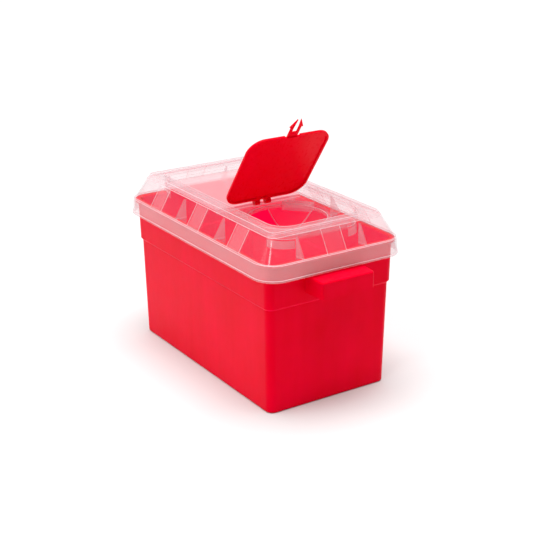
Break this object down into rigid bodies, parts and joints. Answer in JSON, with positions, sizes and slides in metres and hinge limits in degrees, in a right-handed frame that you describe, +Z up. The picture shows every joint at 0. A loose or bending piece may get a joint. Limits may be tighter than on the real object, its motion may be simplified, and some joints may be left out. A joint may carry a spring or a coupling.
{
  "type": "sharps container",
  "caption": "Lidded bin for used needles, with a translucent snap-fit lid, a swinging door over a drop hole, a folding lock tab and a petal guard.",
  "frame": {"origin": "middle of the underside, on the surface that the container stands on; also the bounding box's bottom centre", "axes": "+Z up; X along the long side, with the drop hole at +X; Y across"},
  "size_m": [0.4038, 0.2116, 0.3507],
  "materials": {
    "red_plastic": "moulded polypropylene, satin gloss",
    "clear_plastic": "natural polypropylene, milky and see-through",
    "soft_clear_plastic": "soft natural plastic, milky"
  },
  "bodies": {
    "container": {"bin": "red_plastic", "lid": "clear_plastic", "guard_ring": "clear_plastic"},
    "door": {"door": "red_plastic"},
    "lock_tab": {"lock_tab": "red_plastic"},
    "petal_1": {"petal_1": "soft_clear_plastic"},
    "petal_2": {"petal_2": "soft_clear_plastic"},
    "petal_3": {"petal_3": "soft_clear_plastic"},
    "petal_4": {"petal_4": "soft_clear_plastic"}
  },
  "joints": [
    {"name": "door_swing", "type": "hinge", "parent": "container", "child": "door", "pos_m": [0.008, 0, 0.22278], "axis": [0, -1, 0], "range_deg": [-49, 117]},
    {"name": "tab_fold", "type": "hinge", "parent": "door", "child": "lock_tab", "pos_m": [0.07915, 0, 0.32587], "axis": [0, 1, 0], "range_deg": [-10, 90], "stiffness_Nm_per_rad": 0.01},
    {"name": "petal_1_bend", "type": "hinge", "parent": "container", "child": "petal_1", "pos_m": [0.03157, 0.02924, 0.2124], "axis": [0.6157, 0.788, 0], "range_deg": [0, 50], "stiffness_Nm_per_rad": 0.03, "springref_deg": -5.73},
    {"name": "petal_2_bend", "type": "hinge", "parent": "container", "child": "petal_2", "pos_m": [0.08525, 0.04464, 0.2124], "axis": [0.9397, -0.342, 0], "range_deg": [0, 50], "stiffness_Nm_per_rad": 0.03, "springref_deg": -5.73},
    {"name": "petal_3_bend", "type": "hinge", "parent": "container", "child": "petal_3", "pos_m": [0.11647, -0.00166, 0.2124], "axis": [-0.0349, -0.9994, 0], "range_deg": [0, 50], "stiffness_Nm_per_rad": 0.03, "springref_deg": -5.73},
    {"name": "petal_4_bend", "type": "hinge", "parent": "container", "child": "petal_4", "pos_m": [0.08209, -0.04566, 0.2124], "axis": [-0.9613, -0.2756, 0], "range_deg": [0, 50], "stiffness_Nm_per_rad": 0.03, "springref_deg": -5.73}
  ]
}
